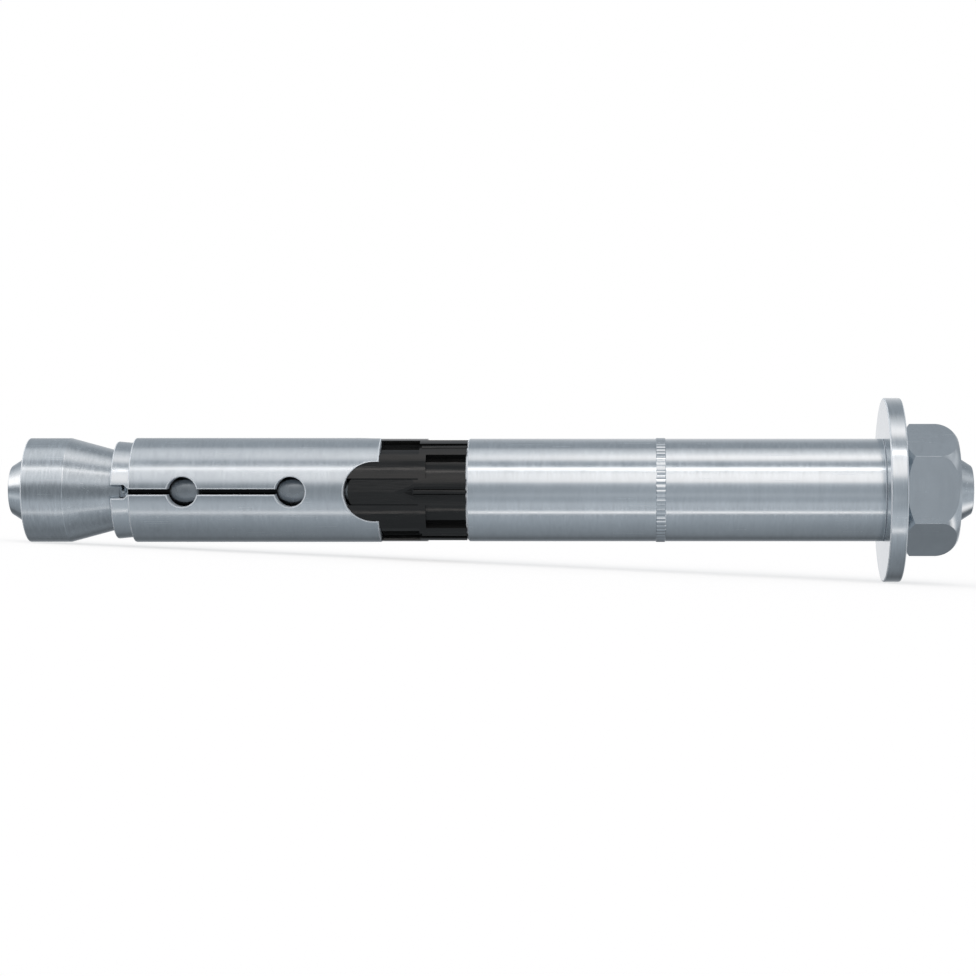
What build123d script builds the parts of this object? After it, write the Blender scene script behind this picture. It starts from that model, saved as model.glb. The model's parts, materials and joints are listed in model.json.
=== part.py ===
from build123d import *
import math
import os

# Sleeve anchor for heavy loads: a threaded bolt carries a cone nut at one end and a hexagon nut
# with its washer at the other. Between them sit a slit expansion sleeve, a moulded plastic ring
# that gives way when the nut is tightened, and a plain distance sleeve.
# Every piece is made on a straight axis along X, with x = 0 at the cone end of the bolt, and the
# whole anchor is then laid down as it rests: on the rim of its washer and the edge of its cone.
# Sizes are in millimetres and angles in degrees.

# Thread and bolt
thread_d = 10.0
thread_pitch = 1.5
bolt_end_d = 6.8
bolt_end_taper = 2.5
bolt_past_cone = 2.6
bolt_past_nut = 2.25
cone_thread_past_nose = 1.6
nut_thread_length = 32.0
thread_runout = 0.9

# Cone nut
cone_under_sleeve = 0.05
cone_length = 13.6
cone_cylinder = 5.9
cone_nose_wall = 0.31
thread_clearance = 0.05

# Expansion sleeve
sleeve_d = 14.85
sleeve_length = 35.1
sleeve_bore_clearance = 0.25
seat_clearance = 0.02
collar_length = 2.55
collar_on_nose = 1.07
collar_wall = 1.2
leg_count = 3
slot_width = 0.73
keyway_width = 1.87
keyway_corner = 0.7
hole_d = 4.2
first_hole = 7.55
hole_pitch = 15.15
notch_width = 8.3
notch_depth = 4.9

# Plastic ring
ring_length = 12.2
ring_bore_clearance = 0.2
ring_block_length = 5.55
ring_band = 1.0
ring_pocket_depth = 0.9
ring_sector = 30.0
tongue_clearance = 0.04
finger_gap = 0.5
finger_slit = 0.18
finger_slit_depth = 1.1
finger_ramp = 2.15
finger_drop = 0.35
finger_roof_angle = 11.0
finger_rib_start = 4.6
rib_width = 0.8
rib_groove = 0.32
rib_groove_depth = 0.4
rib_inset = 0.02
nib_length = 0.15
nib_width = 0.36
nib_height = 0.08

# Distance sleeve
spacer_under_sleeve = 0.2
spacer_length = 59.1
spacer_clearance = 0.1
spacer_edge = 0.3
knurl_start = 26.75
knurl_width = 1.36
knurl_height = 0.1
knurl_valley = 0.01
knurl_count = 60

# Washer
washer_d = 26.25
washer_thickness = 2.45
washer_clearance = 0.1
fixture_hole_d = 16.0

# Hexagon nut
nut_across_flats = 16.35
nut_height = 8.0
nut_seat_d = 15.6
nut_seat_angle = 40.0
nut_crown_length = 3.1
nut_crown_radius = 3.6
nut_crown_steps = 3

# How far the slots and the tongues are turned down from the front
feature_turn = -2.2

# Sizes that follow from the ones above
leg_step = 360 / leg_count
thread_r = thread_d / 2
shank_r = thread_r - 0.3248 * thread_pitch
threaded_bore_r = thread_r + thread_clearance
sleeve_r = sleeve_d / 2
sleeve_bore_r = thread_r + sleeve_bore_clearance
cone_r = (sleeve_d - cone_under_sleeve) / 2
nose_r = thread_r + cone_nose_wall
spacer_r = (sleeve_d - spacer_under_sleeve) / 2
ring_bore_r = thread_r + ring_bore_clearance
pocket_r = spacer_r - ring_pocket_depth
washer_r = washer_d / 2

# Places along the axis
cone_face_x = bolt_past_cone
nose_x = cone_face_x + cone_length
collar_x = nose_x - collar_on_nose
sleeve_x = collar_x + collar_length
ring_x = sleeve_x + sleeve_length
spacer_x = ring_x + ring_length
washer_x = spacer_x + spacer_length
nut_x = washer_x + washer_thickness
nut_end_x = nut_x + nut_height
bolt_length = nut_end_x + bolt_past_nut

taper_x = cone_face_x + cone_cylinder
taper_slope = (cone_r - nose_r) / (nose_x - taper_x)


def turned(*outline):
    """Solid of revolution about the X axis from a closed outline of (x, radius) points."""
    return revolve(make_face(Polyline(*outline, close=True)), Axis.X)


def tube(x, length, outer_r, inner_r):
    """Plain ring on the axis."""
    return turned((x, inner_r), (x, outer_r), (x + length, outer_r), (x + length, inner_r))


def turn_to(shape, angle):
    """Turn a shape made at the top of the axis to an angle, 0 at the front and 90 at the top."""
    return Rot(90 - angle, 0, 0) * shape


def cone_radius_at(x):
    """Radius of the cone's slope at a place on the axis."""
    return nose_r + (nose_x - x) * taper_slope


def make_threaded_bolt():
    cone_thread_x = nose_x + cone_thread_past_nose
    nut_thread_x = bolt_length - nut_thread_length
    return turned(
        (0, 0),
        (0, bolt_end_d / 2),
        (bolt_end_taper, thread_r),
        (cone_thread_x - thread_runout, thread_r),
        (cone_thread_x, shank_r),
        (nut_thread_x, shank_r),
        (nut_thread_x + thread_runout, thread_r),
        (bolt_length - bolt_end_taper, thread_r),
        (bolt_length, bolt_end_d / 2),
        (bolt_length, 0),
    )


def make_cone_nut():
    return turned(
        (cone_face_x, threaded_bore_r),
        (cone_face_x, cone_r),
        (taper_x, cone_r),
        (nose_x, nose_r),
        (nose_x, threaded_bore_r),
    )


def sleeve_blank():
    """The expansion sleeve before it is slit: collar, body, tapered seat and bore."""
    seat_r = cone_radius_at(collar_x) + seat_clearance
    collar_r = seat_r + collar_wall
    seat_end_x = nose_x + (nose_r + seat_clearance - sleeve_bore_r) / taper_slope
    return turned(
        (collar_x, seat_r),
        (collar_x, collar_r),
        (sleeve_x, collar_r),
        (sleeve_x, sleeve_r),
        (ring_x, sleeve_r),
        (ring_x, sleeve_bore_r),
        (seat_end_x, sleeve_bore_r),
    )


def slit():
    """One slot with its keyway and its two round holes, cut from the top of the sleeve."""
    hole_x = sleeve_x + first_hole
    last_hole_x = hole_x + hole_pitch
    slot_length = last_hole_x - collar_x
    slot = Pos(last_hole_x - slot_length, 0, 0) * Box(
        slot_length, slot_width, sleeve_d, align=(Align.MIN, Align.CENTER, Align.MIN))
    keyway = Pos(collar_x - keyway_width, 0, 0) * Box(
        keyway_width + collar_length, keyway_width, sleeve_d,
        align=(Align.MIN, Align.CENTER, Align.MIN))
    corners = keyway.edges().filter_by(Axis.Z).group_by(Axis.X)[-1]
    cut = slot + chamfer(corners, keyway_corner)
    for x in (hole_x, last_hole_x):
        cut += Pos(x, 0, 0) * Cylinder(
            hole_d / 2, sleeve_d, align=(Align.CENTER, Align.CENTER, Align.MIN))
    return cut


def notch(clearance=0.0):
    """The round-ended notch in the sleeve's rear end, as a radial prism, less a clearance."""
    radius = notch_width / 2 - clearance
    centre_x = ring_x - notch_depth + notch_width / 2
    end = Cylinder(radius, sleeve_d, align=(Align.CENTER, Align.CENTER, Align.MIN))
    mouth = Box(2 * notch_width, 2 * radius, sleeve_d,
                align=(Align.MIN, Align.CENTER, Align.MIN))
    return Pos(centre_x, 0, 0) * (end + mouth)


def make_expansion_sleeve():
    sleeve = sleeve_blank()
    cut = slit() + notch()
    for leg in range(leg_count):
        sleeve -= turn_to(cut, feature_turn + leg * leg_step)
    return sleeve


def pocket(x, length):
    """What is cut from the outside of the ring, over one sector, to leave a shallow pocket."""
    reach = 2 * spacer_r
    half = reach * math.tan(math.radians(ring_sector / 2))
    wedge = make_face(Polyline((0, 0), (half, reach), (-half, reach), close=True))
    section = Plane.YZ * (wedge - Circle(pocket_r))
    return Pos(x, 0, 0) * extrude(section, length)


def radial_box(x, length, width, floor_r):
    """A box over the top of the ring, open to the outside, that cuts down to one radius."""
    return Pos(x, 0, floor_r) * Box(
        length, width, sleeve_d, align=(Align.MIN, Align.CENTER, Align.MIN))


def finger_cut():
    """What frees a springy finger in the middle of a tongue: its short tip, two slits and roof."""
    tip_x = ring_x - notch_depth
    half = spacer_r * math.sin(math.radians(ring_sector / 2))
    cut = radial_box(tip_x, notch_depth, 2 * half, 0) - notch(tongue_clearance + finger_gap)
    for side in (-1, 1):
        cut += Pos(0, side * (half - finger_slit / 2), 0) * radial_box(
            tip_x, notch_depth + ring_block_length, finger_slit, spacer_r - finger_slit_depth)
    ramp_x = ring_x + finger_ramp
    side_drop = half * math.tan(math.radians(finger_roof_angle))
    roof = make_face(Polyline(
        (0, 0), (half, -side_drop), (half, spacer_r), (-half, spacer_r), (-half, -side_drop),
        close=True))
    climb = math.degrees(math.atan2(finger_drop, ramp_x - tip_x))
    above = extrude(Plane.YZ * roof, notch_depth + ring_block_length)
    return cut + Pos(tip_x, 0, spacer_r - finger_drop) * Rot(0, -climb, 0) * above


def rib_groove_cut(x):
    """The shallow round-ended groove that a rib lies in."""
    width = rib_width + 2 * rib_groove
    floor_r = spacer_r - rib_groove_depth
    cut = radial_box(x + width / 2, spacer_x - x, width, floor_r)
    return cut + Pos(x + width / 2, 0, floor_r) * Cylinder(
        width / 2, sleeve_d, align=(Align.CENTER, Align.CENTER, Align.MIN))


def rib(x):
    """One round rib, with a nib that laps the edge of the distance sleeve."""
    radius = rib_width / 2
    top_r = spacer_r - rib_inset
    rod = Pos(0, 0, top_r - radius) * turned((x, 0), (x, radius), (spacer_x, radius), (spacer_x, 0))
    nib = Pos(spacer_x, 0, top_r - rib_inset) * Box(
        nib_length, nib_width, nib_height, align=(Align.MIN, Align.CENTER, Align.MAX))
    return rod + nib


def make_collapse_ring():
    start_x = ring_x - notch_depth
    block_end_x = ring_x + ring_block_length
    pad_x = block_end_x + ring_band
    ring = tube(start_x, spacer_x - start_x, spacer_r, ring_bore_r)

    between_tongues = tube(start_x - 1, ring_x - start_x + 1, sleeve_d, 1)
    for leg in range(leg_count):
        between_tongues -= turn_to(notch(tongue_clearance), feature_turn + leg * leg_step)
    ring -= between_tongues

    pad_step = 2 * ring_sector
    finger_rib_x = ring_x + finger_rib_start
    for pad in range(round(360 / pad_step)):
        angle = feature_turn + pad * pad_step
        on_finger = (pad * pad_step) % leg_step == 0
        ring -= turn_to(pocket(pad_x, spacer_x - pad_x), angle + ring_sector)
        if on_finger:
            ring -= turn_to(finger_cut(), angle)
            groove_x = finger_rib_x
            rib_x = groove_x + rib_groove
        else:
            ring -= turn_to(pocket(ring_x, ring_block_length), angle)
            groove_x = block_end_x - rib_width
            rib_x = block_end_x + rib_groove
        ring -= turn_to(rib_groove_cut(groove_x), angle)
        ring += turn_to(rib(rib_x), angle)
    return ring


def knurl():
    """The narrow band of fine axial ridges round the distance sleeve."""
    step = 360 / knurl_count
    points = []
    for ridge in range(knurl_count):
        for turn, radius in ((0, spacer_r + knurl_height), (step / 2, spacer_r + knurl_valley)):
            angle = math.radians(ridge * step + turn)
            points.append((radius * math.cos(angle), radius * math.sin(angle)))
    star = make_face(Polyline(*points, close=True))
    band = extrude(Plane.YZ * star, knurl_width)
    bore = Plane.YZ * extrude(Circle(spacer_r - 1.0), knurl_width)
    return Pos(spacer_x + knurl_start, 0, 0) * (band - bore)


def make_distance_sleeve():
    bore_r = thread_r + spacer_clearance
    end_x = spacer_x + spacer_length
    sleeve = turned(
        (spacer_x, bore_r),
        (spacer_x, spacer_r - spacer_edge),
        (spacer_x + spacer_edge, spacer_r),
        (end_x, spacer_r),
        (end_x, bore_r),
    )
    return sleeve + knurl()


def make_washer():
    """Its front is two faces: the inner one meets the distance sleeve, the outer one the fixture."""
    bore_r = thread_r + washer_clearance
    outline = Polyline(
        (washer_x, bore_r),
        (washer_x, fixture_hole_d / 2),
        (washer_x, washer_r),
        (nut_x, washer_r),
        (nut_x, bore_r),
        close=True,
    )
    return revolve(make_face(outline), Axis.X, clean=False)


def make_hex_nut():
    corner_r = nut_across_flats / math.sqrt(3)
    seat_r = nut_seat_d / 2
    seat_depth = (corner_r - seat_r) * math.tan(math.radians(nut_seat_angle))
    full_angle = math.asin(nut_crown_length / nut_crown_radius)
    crown = []
    for step in range(nut_crown_steps + 1):
        angle = full_angle * step / nut_crown_steps
        crown.append((nut_end_x - nut_crown_length + nut_crown_radius * math.sin(angle),
                      corner_r - nut_crown_radius * (1 - math.cos(angle))))
    envelope = turned(
        (nut_x, threaded_bore_r),
        (nut_x, seat_r),
        (nut_x + seat_depth, corner_r),
        *crown,
        (nut_end_x, threaded_bore_r),
    )
    hexagon = Plane.YZ * extrude(RegularPolygon(corner_r, 6, rotation=30), nut_height)
    return envelope & (Pos(nut_x, 0, 0) * hexagon)


makers = {
    "threaded_bolt": make_threaded_bolt,
    "cone_nut": make_cone_nut,
    "expansion_sleeve": make_expansion_sleeve,
    "collapse_ring": make_collapse_ring,
    "distance_sleeve": make_distance_sleeve,
    "washer": make_washer,
    "hex_nut": make_hex_nut,
}

# The anchor lies on the washer's rim and on the edge of the cone, so its axis climbs a little
tilt = math.degrees(math.atan2(washer_r - cone_r, washer_x - cone_face_x))
pieces = {name: Rot(0, -tilt, 0) * make() for name, make in makers.items()}

# The origin is under the middle of the whole anchor, on the surface that it lies on
box = Compound(list(pieces.values())).bounding_box()
place = Pos(-box.center().X, -box.center().Y, -box.min.Z)

os.makedirs("parts", exist_ok=True)
for name, piece in pieces.items():
    export_step(place * piece, f"parts/{name}.step")
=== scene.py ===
import json
import math

import bmesh
import bpy
from mathutils import Matrix, Vector


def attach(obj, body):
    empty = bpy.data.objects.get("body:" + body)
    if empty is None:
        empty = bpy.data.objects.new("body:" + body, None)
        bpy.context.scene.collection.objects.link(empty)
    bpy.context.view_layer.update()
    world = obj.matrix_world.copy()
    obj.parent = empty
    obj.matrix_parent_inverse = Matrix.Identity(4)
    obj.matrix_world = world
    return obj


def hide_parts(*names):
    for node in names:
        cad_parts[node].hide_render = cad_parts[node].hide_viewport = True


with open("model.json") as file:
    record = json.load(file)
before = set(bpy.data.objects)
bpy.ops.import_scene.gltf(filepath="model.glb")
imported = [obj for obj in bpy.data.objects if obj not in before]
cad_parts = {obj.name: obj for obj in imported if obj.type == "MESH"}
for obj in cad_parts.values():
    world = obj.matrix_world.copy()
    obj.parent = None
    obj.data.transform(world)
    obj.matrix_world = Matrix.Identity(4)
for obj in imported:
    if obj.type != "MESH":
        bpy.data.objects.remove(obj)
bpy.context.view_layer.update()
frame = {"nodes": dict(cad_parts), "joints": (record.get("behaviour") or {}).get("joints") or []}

bl_info = {
    "name": "Sleeve anchor",
    "version": (1, 0, 0),
    "blender": (4, 5, 0),
    "location": "3D View > Sidebar > Anchor",
    "description": "Dresses the packed sleeve anchor with its threads, edges, finishes and studio",
    "category": "Add Mesh",
}

MM = 0.001
# In millimetres: how far a thread's mouth stays inside the turned mouth round it
LIP = 0.03
# In millimetres: how much the cone's bore widens at its nose
NOSE_MOUTH = 0.04
# A metric thread's depth in pitches, and one turn of it as shares of the pitch and of that depth
THREAD_DEPTH = 0.5413
THREAD_TURN = ((0, 0), (0.25, 0), (0.2906, 0.13), (0.5219, 0.87), (0.5625, 1), (0.6875, 1), (0.7281, 0.87),
               (0.9594, 0.13), (1, 0))
# Places in a piece's list of finishes: the edges' painted highlight comes second, but third on the expansion
# sleeve, whose bore and slots take painted shade fourth
EDGE = 1
WALL, SLEEVE_EDGE, SLOT = 1, 2, 3
# In millimetres: the flat leg's strips before it is rolled, its cross cuts from the body's start,
# and how far past the notch its walls stay upright
STRIP = 0.32
CROSS_CUTS = (4, 11, 18, 26)
UPRIGHT_PAST_NOTCH = 0.3
# A knurled ridge's four steps round the sleeve, as shares of its height
RIDGE = (0.35, 0.8, 1.0, 0.8)
# How many grains of each pattern of the plated steel lie in a metre
FINE_RINGS, BROAD_RINGS, CLOUDS = 3300.0, 900.0, 260.0
FULL_TURN = 2 * math.pi
TOLERANCE = 1e-4
SMOOTH_ANGLE = math.radians(28)

# The anchor's own axis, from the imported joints: x runs along the bolt from its cone end


def cad_points(node):
    """Every vertex of a CAD node, in the row frame."""
    return [v.co.copy() for v in frame["nodes"][node].data.vertices]


def straight_frame():
    """The matrix that takes a place on the straight anchor, in millimetres, to the row frame."""
    joint = next(j for j in frame["joints"] if j["name"] == "spacer_turn")
    along = Vector(joint["axis"]).normalized()
    away = Vector((0, 1, 0))
    up = along.cross(away).normalized()
    middle = Vector(joint["pos_m"])
    start = min((p - middle).dot(along) for p in cad_points("threaded_bolt"))
    turned = Matrix((along, away, up)).transposed().to_4x4()
    return Matrix.Translation(middle + along * start) @ turned @ Matrix.Scale(MM, 4)


TO_ROW = straight_frame()
TO_STRAIGHT = TO_ROW.inverted()


class Measured:
    """A CAD node's (x, radius) points, in millimetres on the straight anchor."""

    def __init__(self, node):
        straight = [TO_STRAIGHT @ p for p in cad_points(node)]
        self.points = [(p.x, math.hypot(p.y, p.z)) for p in straight]
        self.start = min(x for x, r in self.points)
        self.end = max(x for x, r in self.points)
        self.reach = max(r for x, r in self.points)
        self.bore = min(r for x, r in self.points)

    def reach_at(self, place):
        return max(r for x, r in self.points if abs(x - place) < 0.01)

    def places_of(self, radius):
        found = [x for x, r in self.points if abs(r - radius) < 0.005]
        return min(found), max(found)


bolt = Measured("threaded_bolt")
cone = Measured("cone_nut")
sleeve = Measured("expansion_sleeve")
spacer = Measured("distance_sleeve")
washer = Measured("washer")
nut = Measured("hex_nut")


# Sizes and finishes that a user may change


def length(name, description, default):
    return bpy.props.FloatProperty(
        name=name, description=description, default=default, min=0, unit="LENGTH", precision=5)


def angle(name, description, default):
    return bpy.props.FloatProperty(
        name=name, description=description, default=math.radians(default), subtype="ANGLE")


def number(name, description, default, top=100.0):
    return bpy.props.FloatProperty(
        name=name, description=description, default=default, min=0, max=top, subtype="FACTOR")


def count(name, description, default):
    return bpy.props.IntProperty(name=name, description=description, default=default, min=1)


def colour(name, description, default):
    return bpy.props.FloatVectorProperty(
        name=name, description=description, default=default, size=3, min=0, max=1, subtype="COLOR")


class AnchorThread(bpy.types.PropertyGroup):
    pitch: length("Pitch", "Length of one turn of the metric thread", 0.0015)
    play: length("Play", "How much wider the nuts' threads are than the bolt's", 0.00008)
    fade: length("Run-out", "Length over which a thread rises from the bolt's plain ends", 0.0018)
    drop: length("Drop", "Length over which the bolt falls from its thread to its shank", 0.0005)
    end_taper: length("End taper", "Length of the plain tapered ends of the bolt", 0.0025)
    end_edge: length("End edge", "Rounding of the bolt's end faces", 0.00016)
    countersink: length("Countersink", "How far the nuts' bores widen at their faces", 0.00045)
    steps: count("Steps", "Steps in one turn of a thread", 64)


class AnchorCone(bpy.types.PropertyGroup):
    edge: length("Edge", "Rounding of the cone's rear edge", 0.00018)
    blend: length("Blend", "Where the cylinder begins to bend into the slope", 0.0001)


class AnchorSleeve(bpy.types.PropertyGroup):
    slot_width: length("Slot width", "Width of the long slots between the legs", 0.00073)
    keyway_width: length("Keyway width", "Width of the slots through the collar", 0.00187)
    keyway_corner: length("Keyway corner", "Where a keyway narrows to its slot", 0.0007)
    hole: length("Hole", "Diameter of the round holes in the slots", 0.0042)
    first_hole: length("First hole", "From the collar's end to the first hole", 0.00755)
    hole_pitch: length("Hole pitch", "From the first hole to the last", 0.01515)
    notch_width: length("Notch width", "Width of the round-ended rear notches", 0.0083)
    notch_depth: length("Notch depth", "Depth of the rear notches", 0.0049)
    edge: length("Edge break", "Small rounding of every outer edge", 0.0002)
    collar_taper: length("Collar taper", "How much the collar narrows towards the body", 0.00024)
    turn: angle("Turn", "How far the slots are turned down from the front", -2.2)
    legs: count("Legs", "Number of legs", 3)


class AnchorRing(bpy.types.PropertyGroup):
    edge: length("Edge", "Rounding of the moulded edges", 0.00009)


class AnchorSpacer(bpy.types.PropertyGroup):
    edge: length("Edge break", "Small chamfer at the washer's end", 0.00014)
    ridges: count("Ridges", "Number of ridges of the knurled band", 60)
    ridge_height: length("Ridge height", "How far the ridges stand out", 0.0001)
    band_edge: length("Band edge", "Length over which the ridges rise at both ends", 0.00007)


class AnchorWasher(bpy.types.PropertyGroup):
    edge: length("Edge", "Rounding of the washer's edges", 0.00025)
    bore_edge: length("Bore edge", "Rounding of the washer's bore", 0.0002)


class AnchorNut(bpy.types.PropertyGroup):
    across_flats: length("Across flats", "Distance between opposite flats", 0.01635)
    corner: length("Corner", "Rounding of the six long corners", 0.00015)
    crown_length: length("Crown length", "Length of the rounded crown", 0.0031)
    crown_radius: length("Crown radius", "Radius of the rounded crown", 0.0036)
    crown_steps: count("Crown steps", "Steps of the rounded crown", 14)


class AnchorFinish(bpy.types.PropertyGroup):
    steel: colour("Steel", "Colour of the zinc-plated steel", (0.53, 0.58, 0.62))
    gloss: number("Roughness", "Roughness of the plated steel", 0.17, 1)
    # Edges: the colour of the painted edge highlight, near white
    edge: colour("Edges", "Colour of the bright edges", (0.86, 0.93, 0.99))
    wall: colour("Cut walls", "Colour of the sleeve's bore and of the walls of its cuts", (0.58, 0.64, 0.70))
    shank: number("Shank tone", "How bright the rolled shank is, against the plated steel", 0.7)
    # Painted shade: the share of the steel's colour that the shank keeps where the sleeves cover it
    covered_painted_shade: number("Hidden shank", "How bright the shank is where the sleeves cover it", 0.03)
    plastic: colour("Plastic", "Colour of the black plastic", (0.007, 0.007, 0.007))


class AnchorStudio(bpy.types.PropertyGroup):
    across: length("Across", "The picture's width at the anchor's axis", 0.139275)
    distance: length("Distance", "From the camera to the anchor's axis", 0.3853)
    from_end: length("From the end", "Where along the anchor the camera stands", 0.0865)
    rise: length("Rise", "How far the axis is below the picture's middle", 0.000285)
    aside: number("Aside", "How far the picture's middle is left of the camera", 0.1342, 1)
    floor: colour("Floor", "Colour of the floor", (0.4, 0.4, 0.4))
    floor_glow: number("Floor glow", "What the camera sees of the floor beyond its lit colour", 0.68, 1)
    boxes: number("Soft boxes", "Brightness of the long soft boxes", 1.0, 10)
    ends: number("Ends", "Brightness of the light beyond the anchor's two ends", 1.0, 10)


# Shapes: everything is modelled in millimetres on the straight anchor, then laid down in the row frame


def mm(value):
    return value / MM


def smooth_step(share):
    share = max(0.0, min(1.0, share))
    return share * share * (3 - 2 * share)


def radius_of(vert):
    return math.hypot(vert.co.y, vert.co.z)


def set_radius(vert, radius):
    now = radius_of(vert)
    vert.co.y *= radius / now
    vert.co.z *= radius / now


def everything(bm):
    return bm.verts[:] + bm.edges[:] + bm.faces[:]


def verts_of(made):
    return [part for part in made if isinstance(part, bmesh.types.BMVert)]


def edges_of(made):
    return [part for part in made if isinstance(part, bmesh.types.BMEdge)]


def nearest(bm, x, radius):
    return min(bm.verts, key=lambda v: math.hypot(v.co.x - x, v.co.z - radius))


def cut(bm, place, way, **options):
    """Cut the whole shape with a plane, and return what lies in the cut."""
    return bmesh.ops.bisect_plane(bm, geom=everything(bm), dist=TOLERANCE, plane_co=place,
                                  plane_no=way, **options)["geom_cut"]


def round_edges(bm, edges, offset, segments, finish_place):
    """Round the edges, and give what is new its own finish."""
    made = bmesh.ops.bevel(bm, geom=edges, offset=offset, offset_type="OFFSET", segments=segments,
                           profile=0.5, affect="EDGES", material=-1, clamp_overlap=True)
    for face in made["faces"]:
        face.material_index = finish_place


def section(bm, outline):
    """A flat face through the axis from (x, radius) points, the start of a turned shape."""
    return bm.faces.new([bm.verts.new((x, 0, r)) for x, r in outline])


def round_corners(bm, places, offset, segments):
    """Round the corners of a section that are nearest to the given (x, radius) places."""
    corners = [nearest(bm, x, r) for x, r in places]
    bmesh.ops.bevel(bm, geom=corners, offset=offset, offset_type="OFFSET", segments=segments,
                    profile=0.5, affect="VERTICES", material=-1)


def open_section(bm, start, end):
    """Leave only the section's edges, without the one between two (x, radius) places."""
    bmesh.ops.delete(bm, geom=bm.faces[:], context="FACES_ONLY")
    ends = {nearest(bm, x, r) for x, r in (start, end)}
    bmesh.ops.delete(bm, geom=[e for e in bm.edges if set(e.verts) == ends], context="EDGES")


def turn(bm, steps=96):
    """Spin the section's edges round the axis."""
    bmesh.ops.delete(bm, geom=bm.faces[:], context="FACES_ONLY")
    bmesh.ops.spin(bm, geom=bm.verts[:] + bm.edges[:], cent=(0, 0, 0), axis=(1, 0, 0),
                   angle=FULL_TURN, steps=steps, use_merge=True)
    bmesh.ops.remove_doubles(bm, verts=bm.verts[:], dist=TOLERANCE)


def open_loop(bm, x):
    """The open edges that lie round the axis at one place."""
    return [e for e in bm.edges if e.is_boundary and all(abs(v.co.x - x) < TOLERANCE for v in e.verts)]


def carry_on(bm, loop, x, radius):
    """Carry an open edge loop on to another place and radius."""
    made = bmesh.ops.extrude_edge_only(bm, edges=loop)["geom"]
    for vert in verts_of(made):
        vert.co.x = x
        set_radius(vert, radius)
    return edges_of(made)


def thread(bm, start, end, crest, thread_settings, radius_at):
    """One metric thread between two places. Its radius goes through radius_at(x, radius)."""
    pitch = mm(thread_settings.pitch)
    depth = THREAD_DEPTH * pitch
    first = (math.floor(start / pitch) - 1) * pitch
    turns = math.ceil((end - first) / pitch) + 1
    verts = [bm.verts.new((first + share * pitch, 0, crest - (1 - height) * depth))
             for share, height in THREAD_TURN]
    edges = [bm.edges.new(pair) for pair in zip(verts, verts[1:])]
    steps = thread_settings.steps
    bmesh.ops.spin(bm, geom=verts + edges, cent=(0, 0, 0), axis=(1, 0, 0),
                   dvec=(pitch / steps, 0, 0), angle=FULL_TURN * turns, steps=steps * turns)
    bmesh.ops.remove_doubles(bm, verts=bm.verts[:], dist=TOLERANCE)
    for place, side in ((start, -1), (end, 1)):
        cut(bm, (place, 0, 0), (side, 0, 0), clear_outer=True)
    for vert in bm.verts:
        set_radius(vert, radius_at(vert.co.x, radius_of(vert)))


def join(bm, other):
    """Add another bmesh's shape to this one."""
    mesh = bpy.data.meshes.new("joined")
    other.to_mesh(mesh)
    other.free()
    bm.from_mesh(mesh)
    bpy.data.meshes.remove(mesh)


def close_between(bm, x):
    """Close the narrow flat ring at one place between a turned mouth and the thread inside it."""
    bmesh.ops.triangle_fill(bm, edges=open_loop(bm, x), use_beauty=True, use_dissolve=False,
                            normal=(1, 0, 0))


def is_edge(face, x, width):
    """Whether a face belongs to the narrow slanting edge at one place."""
    centre = face.calc_center_median()
    return abs(centre.x - x) < width and 0.05 < abs(face.normal.x) < 0.99 and (
        math.hypot(centre.y, centre.z) > bolt.reach + 1)


def outward(bm):
    bmesh.ops.remove_doubles(bm, verts=bm.verts[:], dist=TOLERANCE)
    bmesh.ops.recalc_face_normals(bm, faces=bm.faces[:])


def round_normals(mesh):
    """Where an outer face lies on the round, shade it by the true round and not by its flat strips."""
    along = TO_ROW.col[0].to_3d().normalized()
    middle = TO_ROW.translation
    normals = [corner.vector.copy() for corner in mesh.corner_normals]
    for face in mesh.polygons:
        lean = face.normal.dot(along)
        if face.material_index == 0 and abs(lean) < 0.3:
            for corner in face.loop_indices:
                out = mesh.vertices[mesh.loops[corner].vertex_index].co - middle
                out -= along * out.dot(along)
                normals[corner] = (out.normalized() * math.sqrt(1 - lean * lean) + along * lean)
    mesh.normals_split_custom_set(normals)


def finish_piece(bm, name, body, slot, *materials, true_round=False):
    """Lay the shape down in the row frame as a piece that rides on a body and stands for its node."""
    bmesh.ops.transform(bm, matrix=TO_ROW, verts=bm.verts[:])
    mesh = bpy.data.meshes.new(name)
    bm.to_mesh(mesh)
    bm.free()
    mesh.shade_smooth()
    kept = [e.index for e in mesh.edges if e.use_edge_sharp]
    mesh.set_sharp_from_angle(angle=SMOOTH_ANGLE)
    for index in kept:
        mesh.edges[index].use_edge_sharp = True
    for material in materials:
        mesh.materials.append(material)
    piece = bpy.data.objects.new(name + "_look", mesh)
    bpy.context.scene.collection.objects.link(piece)
    if true_round:
        round_normals(mesh)
    else:
        weighted = piece.modifiers.new("Even shading", "WEIGHTED_NORMAL")
        weighted.keep_sharp = True
        weighted.weight = 100
    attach(piece, body)
    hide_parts(name)
    return piece


# Materials


def shade(colour, factor):
    """A colour made darker or brighter, with its alpha."""
    return (*[min(1, c * factor) for c in colour], 1)


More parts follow.
